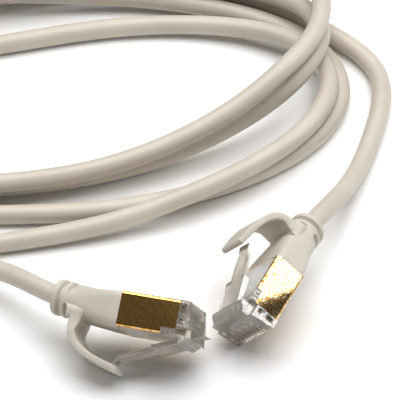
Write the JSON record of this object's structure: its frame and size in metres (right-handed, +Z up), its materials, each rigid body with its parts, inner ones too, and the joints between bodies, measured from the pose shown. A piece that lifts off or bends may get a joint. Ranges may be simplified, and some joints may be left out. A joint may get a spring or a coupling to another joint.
{
  "type": "ethernet_patch_cable",
  "caption": "Slim shielded ethernet patch cable in a loose coil, with a gold-plated 8P8C plug, a soft boot and a hooked latch guard at each end.",
  "frame": {"origin": "On the surface the cable lies on, under the middle of the box round the two plugs.", "axes": "+X runs from plug A towards plug B along the longest side of the two plugs' box, +Y runs away from the plugs towards the coil, +Z is up."},
  "size_m": [0.1388, 0.1109, 0.0173],
  "materials": {
    "jacket": "satin",
    "boot": "matte",
    "shield": "gold-plated, polished",
    "clear_nose": "clear polycarbonate",
    "contacts": "gold-plated",
    "load_bar": "frosted polycarbonate",
    "wires": "insulated",
    "ferrule": "nickel-plated"
  },
  "bodies": {
    "cable": {"boot_a": "boot", "shield_a": "shield", "housing_a": "clear_nose", "contacts_a": "contacts", "load_bar_a": "load_bar", "wires_a": "wires", "crimp_ferrule_a": "ferrule", "jacket_end_a": "jacket", "boot_b": "boot", "shield_b": "shield", "housing_b": "clear_nose", "contacts_b": "contacts", "load_bar_b": "load_bar", "wires_b": "wires", "crimp_ferrule_b": "ferrule", "jacket_end_b": "jacket", "cable_coil": "jacket", "cable_lead_a": "jacket", "cable_lead_b": "jacket"},
    "guard_a": {"latch_guard_a": "boot"},
    "latch_a": {"latch_a": "clear_nose"},
    "guard_b": {"latch_guard_b": "boot"},
    "latch_b": {"latch_b": "clear_nose"}
  },
  "joints": [
    {"name": "guard_a_press", "type": "hinge", "parent": "cable", "child": "guard_a", "pos_m": [-0.01962, -0.0068, 0.00689], "axis": [-0.2395, -0.5347, 0.8104], "range_deg": [0, 20], "stiffness_Nm_per_rad": 0.06},
    {"name": "latch_a_press", "type": "hinge", "parent": "cable", "child": "latch_a", "pos_m": [-0.001, -0.0135, 0.00797], "axis": [-0.2395, -0.5347, 0.8104], "range_deg": [-14, 0]},
    {"name": "guard_b_press", "type": "hinge", "parent": "cable", "child": "guard_b", "pos_m": [0.01712, 0.01247, 0.01074], "axis": [0.5232, -0.3526, 0.7759], "range_deg": [0, 20], "stiffness_Nm_per_rad": 0.06},
    {"name": "latch_b_press", "type": "hinge", "parent": "cable", "child": "latch_b", "pos_m": [0.00772, -0.00492, 0.00918], "axis": [0.5232, -0.3526, 0.7759], "range_deg": [-14, 0]}
  ],
  "couplings": [
    {"joint": "latch_a_press", "follows": "guard_a_press", "ratio": -0.68},
    {"joint": "latch_b_press", "follows": "guard_b_press", "ratio": -0.68}
  ]
}
